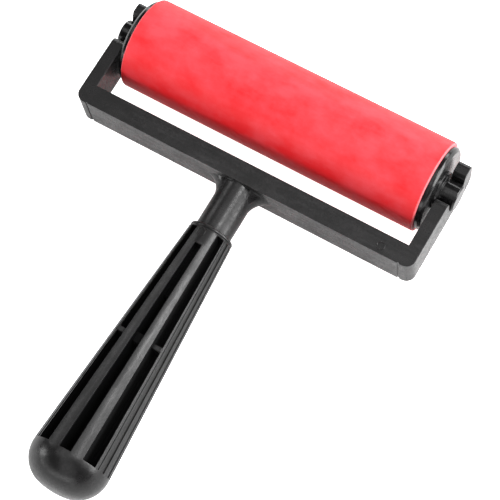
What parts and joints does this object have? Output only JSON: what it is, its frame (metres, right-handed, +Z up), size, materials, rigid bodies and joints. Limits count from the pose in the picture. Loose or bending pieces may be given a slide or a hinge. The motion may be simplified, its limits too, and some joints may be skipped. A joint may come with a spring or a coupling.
{
  "type": "rubber brayer",
  "caption": "Hand roller with a red rubber sleeve turning in a black moulded yoke, on a slotted tapering handle with a bulb end.",
  "frame": {"origin": "centre of the underside of the bounding box, on the plane that the roller rests on, half way between the roller's front and the handle's tip", "axes": "+X along the roller's axis, +Y from the handle towards the roller, +Z up, square to the plane of the yoke"},
  "size_m": [0.1156, 0.146, 0.0288],
  "materials": {
    "yoke_plastic": "black moulded plastic with a fine satin grain and faint flow streaks",
    "handle_plastic": "black moulded plastic, smoother than the yoke",
    "red_rubber": "soft red rubber, semi-matte, slightly mottled",
    "core_plastic": "natural grey tube, hidden by the sleeve and caps",
    "cap_plastic": "black moulded plastic, smooth and glossy"
  },
  "bodies": {
    "frame": {"yoke": "yoke_plastic", "handle": "handle_plastic"},
    "roller": {"rubber_sleeve": "red_rubber", "roller_core": "core_plastic", "end_cap_left": "cap_plastic", "end_cap_right": "cap_plastic"}
  },
  "joints": [
    {"name": "roller_spin", "type": "hinge", "parent": "frame", "child": "roller", "pos_m": [0, 0.0586, 0.0144], "axis": [1, 0, 0], "continuous": true}
  ]
}
